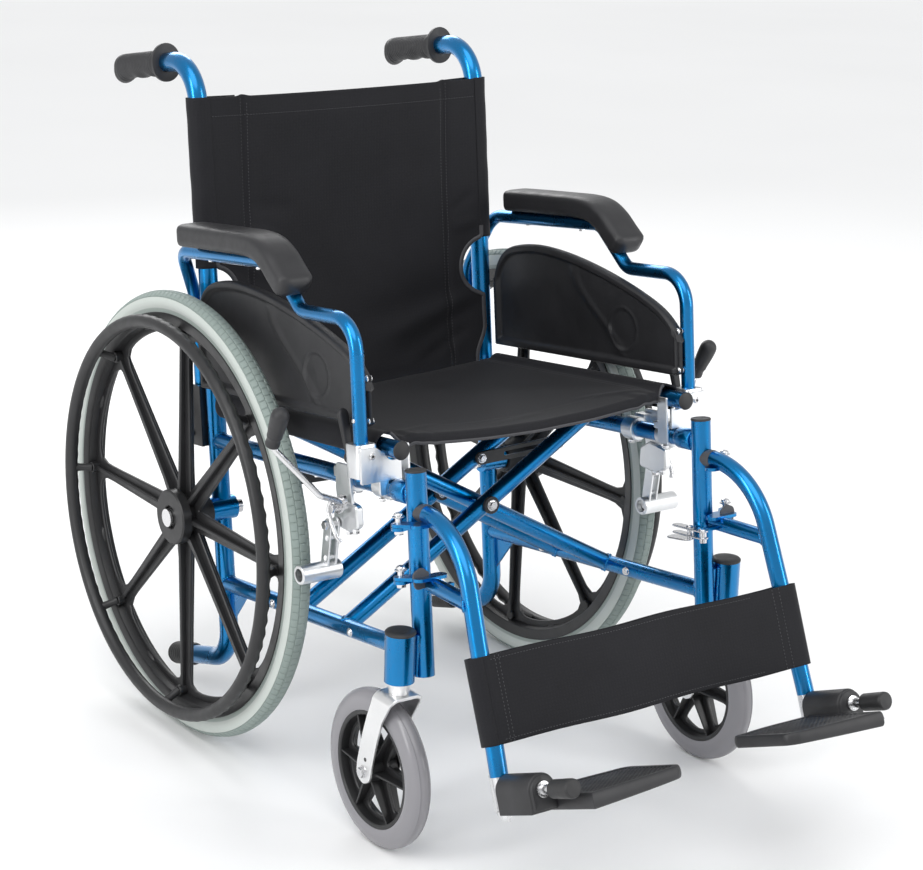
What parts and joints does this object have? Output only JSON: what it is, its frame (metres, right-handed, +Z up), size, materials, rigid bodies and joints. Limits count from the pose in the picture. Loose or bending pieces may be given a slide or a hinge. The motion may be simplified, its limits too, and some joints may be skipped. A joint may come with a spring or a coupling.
{
  "type": "manual wheelchair",
  "caption": "Folding manual wheelchair with scissor cross brace, sling seat and back, flip-back armrests, swing-away footrests, mag rear wheels and swivel casters.",
  "frame": {"origin": "on the floor, under the middle of the chair's bounding box", "axes": "+X to the user's left, -Y forwards, +Z up"},
  "size_m": [0.687, 1.115, 0.8998],
  "materials": {
    "blue_paint": "candy blue gloss lacquer over bright metal",
    "black_rubber": "matte",
    "grip_rubber": "matte with fine ribs",
    "bright_steel": "zinc bright",
    "aluminium": "brushed",
    "black_steel": "satin black",
    "wheel_plastic": "moulded satin black",
    "grey_tyre": "light grey green",
    "caster_tyre": "lilac grey, slightly glossy",
    "pad_foam": "fine grained polyurethane",
    "panel_plastic": "moulded fine grain",
    "nylon": "close black weave",
    "foot_plastic": "moulded, textured top"
  },
  "bodies": {
    "right_frame": {"right_side_frame": "blue_paint", "right_push_grip": "grip_rubber", "right_axle_bolts": "bright_steel", "right_rubber_caps": "black_rubber", "right_arm_socket": "aluminium", "right_arm_bracket": "black_steel", "right_brake_bracket": "aluminium", "back_sling": "nylon"},
    "right_wheel": {"right_rear_wheel": "wheel_plastic", "right_rear_tyre": "grey_tyre", "right_handrim": "wheel_plastic"},
    "right_caster_fork": {"right_caster_fork": "aluminium", "right_caster_axle": "bright_steel"},
    "right_caster_wheel": {"right_caster_wheel": "wheel_plastic", "right_caster_tyre": "caster_tyre"},
    "right_armrest": {"right_arm_tube": "blue_paint", "right_arm_pad": "pad_foam", "right_arm_panel": "panel_plastic"},
    "right_armrest_latch": {"right_arm_latch": "panel_plastic"},
    "right_brake_lever": {"right_brake_lever": "bright_steel", "right_brake_grip": "grip_rubber"},
    "right_brake_shoe": {"right_brake_shoe": "aluminium"},
    "right_hanger": {"right_hanger": "blue_paint", "calf_strap": "nylon"},
    "right_hanger_latch": {"right_hanger_latch": "bright_steel"},
    "right_footrest": {"right_footrest_stem": "bright_steel", "right_footplate_bumper": "black_rubber"},
    "right_footplate": {"right_footplate": "foot_plastic"},
    "right_link": {"right_link_bar": "black_steel"},
    "left_frame": {"left_side_frame": "blue_paint", "left_push_grip": "grip_rubber", "left_axle_bolts": "bright_steel", "left_rubber_caps": "black_rubber", "left_arm_socket": "aluminium", "left_arm_bracket": "black_steel", "left_brake_bracket": "aluminium"},
    "left_wheel": {"left_rear_wheel": "wheel_plastic", "left_rear_tyre": "grey_tyre", "left_handrim": "wheel_plastic"},
    "left_caster_fork": {"left_caster_fork": "aluminium", "left_caster_axle": "bright_steel"},
    "left_caster_wheel": {"left_caster_wheel": "wheel_plastic", "left_caster_tyre": "caster_tyre"},
    "left_armrest": {"left_arm_tube": "blue_paint", "left_arm_pad": "pad_foam", "left_arm_panel": "panel_plastic"},
    "left_armrest_latch": {"left_arm_latch": "panel_plastic"},
    "left_brake_lever": {"left_brake_lever": "bright_steel", "left_brake_grip": "grip_rubber"},
    "left_brake_shoe": {"left_brake_shoe": "aluminium"},
    "left_hanger": {"left_hanger": "blue_paint"},
    "left_hanger_latch": {"left_hanger_latch": "bright_steel"},
    "left_footrest": {"left_footrest_stem": "bright_steel", "left_footplate_bumper": "black_rubber"},
    "left_footplate": {"left_footplate": "foot_plastic"},
    "left_link": {"left_link_bar": "black_steel"},
    "cross_brace_a": {"cross_brace_a": "blue_paint", "brace_bolts": "bright_steel", "seat_sling": "nylon"},
    "cross_brace_b": {"cross_brace_b": "blue_paint"}
  },
  "joints": [
    {"name": "brace_fold", "type": "hinge", "parent": "right_frame", "child": "cross_brace_a", "pos_m": [-0.22, 0.0178, 0.22385], "axis": [0, -0.993, 0.1184], "range_deg": [0, 46], "deforming": ["seat_sling", "back_sling"]},
    {"name": "brace_turn", "type": "hinge", "parent": "cross_brace_a", "child": "cross_brace_b", "pos_m": [0, 0.0323, 0.34548], "axis": [0, -0.993, 0.1184], "range_deg": [-92, 0]},
    {"name": "frame_turn", "type": "hinge", "parent": "cross_brace_b", "child": "left_frame", "pos_m": [0.22, 0.0178, 0.22385], "axis": [0, -0.993, 0.1184], "range_deg": [0, 46]},
    {"name": "link_swing_left", "type": "hinge", "parent": "left_frame", "child": "left_link", "pos_m": [0.195, 0.0618, 0.38175], "axis": [0, 0.993, -0.1184], "range_deg": [0, 83.72]},
    {"name": "wheel_spin_left", "type": "hinge", "parent": "left_frame", "child": "left_wheel", "pos_m": [0.276, 0.2575, 0.3], "axis": [1, 0, 0], "continuous": true},
    {"name": "caster_swivel_left", "type": "hinge", "parent": "left_frame", "child": "left_caster_fork", "pos_m": [0.2545, -0.2225, 0.25], "axis": [0, 0, 1], "continuous": true},
    {"name": "caster_roll_left", "type": "hinge", "parent": "left_caster_fork", "child": "left_caster_wheel", "pos_m": [0.2545, -0.1845, 0.1], "axis": [1, 0, 0], "continuous": true},
    {"name": "armrest_flip_left", "type": "hinge", "parent": "left_frame", "child": "left_armrest", "pos_m": [0.22, 0.30707, 0.3948], "axis": [-1, 0, 0], "range_deg": [0, 100]},
    {"name": "armrest_latch_left", "type": "hinge", "parent": "left_frame", "child": "left_armrest_latch", "pos_m": [0.256, -0.1094, 0.47467], "axis": [-1, 0, 0], "range_deg": [0, 25]},
    {"name": "brake_push_left", "type": "hinge", "parent": "left_frame", "child": "left_brake_lever", "pos_m": [0.253, -0.08357, 0.40412], "axis": [1, 0, 0], "range_deg": [0, 35]},
    {"name": "brake_press_left", "type": "hinge", "parent": "left_frame", "child": "left_brake_shoe", "pos_m": [0.25, -0.06854, 0.37815], "axis": [1, 0, 0], "range_deg": [0, 7.35]},
    {"name": "hanger_swing_left", "type": "hinge", "parent": "left_frame", "child": "left_hanger", "pos_m": [0.252, -0.21003, 0.41618], "axis": [0, 0.1184, 0.993], "range_deg": [0, 90]},
    {"name": "hanger_latch_left", "type": "hinge", "parent": "left_hanger", "child": "left_hanger_latch", "pos_m": [0.198, -0.23785, 0.3349], "axis": [0, 0.1184, 0.993], "range_deg": [0, 20]},
    {"name": "footrest_slide_left", "type": "slide", "parent": "left_hanger", "child": "left_footrest", "axis": [0, -0.3827, -0.9239], "range_m": [0, 0.05]},
    {"name": "footplate_flip_left", "type": "hinge", "parent": "left_footrest", "child": "left_footplate", "pos_m": [0.237, -0.45594, 0.17371], "axis": [0, 0.9239, -0.3827], "range_deg": [0, 90.01]},
    {"name": "link_swing_right", "type": "hinge", "parent": "right_frame", "child": "right_link", "pos_m": [-0.195, 0.12039, 0.37476], "axis": [0, -0.993, 0.1184], "range_deg": [0, 83.72]},
    {"name": "wheel_spin_right", "type": "hinge", "parent": "right_frame", "child": "right_wheel", "pos_m": [-0.276, 0.2575, 0.3], "axis": [1, 0, 0], "continuous": true},
    {"name": "caster_swivel_right", "type": "hinge", "parent": "right_frame", "child": "right_caster_fork", "pos_m": [-0.2545, -0.2225, 0.25], "axis": [0, 0, 1], "continuous": true},
    {"name": "caster_roll_right", "type": "hinge", "parent": "right_caster_fork", "child": "right_caster_wheel", "pos_m": [-0.2545, -0.1845, 0.1], "axis": [1, 0, 0], "continuous": true},
    {"name": "armrest_flip_right", "type": "hinge", "parent": "right_frame", "child": "right_armrest", "pos_m": [-0.22, 0.30707, 0.3948], "axis": [-1, 0, 0], "range_deg": [0, 100]},
    {"name": "armrest_latch_right", "type": "hinge", "parent": "right_frame", "child": "right_armrest_latch", "pos_m": [-0.256, -0.1094, 0.47467], "axis": [-1, 0, 0], "range_deg": [0, 25]},
    {"name": "brake_push_right", "type": "hinge", "parent": "right_frame", "child": "right_brake_lever", "pos_m": [-0.253, -0.08357, 0.40412], "axis": [1, 0, 0], "range_deg": [0, 35]},
    {"name": "brake_press_right", "type": "hinge", "parent": "right_frame", "child": "right_brake_shoe", "pos_m": [-0.25, -0.06854, 0.37815], "axis": [1, 0, 0], "range_deg": [0, 7.35]},
    {"name": "hanger_swing_right", "type": "hinge", "parent": "right_frame", "child": "right_hanger", "pos_m": [-0.252, -0.21003, 0.41618], "axis": [0, -0.1184, -0.993], "range_deg": [0, 90], "deforming": ["calf_strap"]},
    {"name": "hanger_latch_right", "type": "hinge", "parent": "right_hanger", "child": "right_hanger_latch", "pos_m": [-0.198, -0.23785, 0.3349], "axis": [0, -0.1184, -0.993], "range_deg": [0, 20]},
    {"name": "footrest_slide_right", "type": "slide", "parent": "right_hanger", "child": "right_footrest", "axis": [0, -0.3827, -0.9239], "range_m": [0, 0.05]},
    {"name": "footplate_flip_right", "type": "hinge", "parent": "right_footrest", "child": "right_footplate", "pos_m": [-0.237, -0.45594, 0.17371], "axis": [0, -0.9239, 0.3827], "range_deg": [0, 90.01]}
  ],
  "couplings": [
    {"joint": "brace_turn", "follows": "brace_fold", "ratio": -2},
    {"joint": "frame_turn", "follows": "brace_fold", "ratio": 1},
    {"joint": "link_swing_left", "follows": "brace_fold", "ratio": 1.82},
    {"joint": "brake_press_left", "follows": "brake_push_left", "ratio": 0.21},
    {"joint": "footplate_flip_left", "follows": "brace_fold", "ratio": 1.9565},
    {"joint": "link_swing_right", "follows": "brace_fold", "ratio": 1.82},
    {"joint": "brake_press_right", "follows": "brake_push_right", "ratio": 0.21},
    {"joint": "footplate_flip_right", "follows": "brace_fold", "ratio": 1.9565}
  ]
}
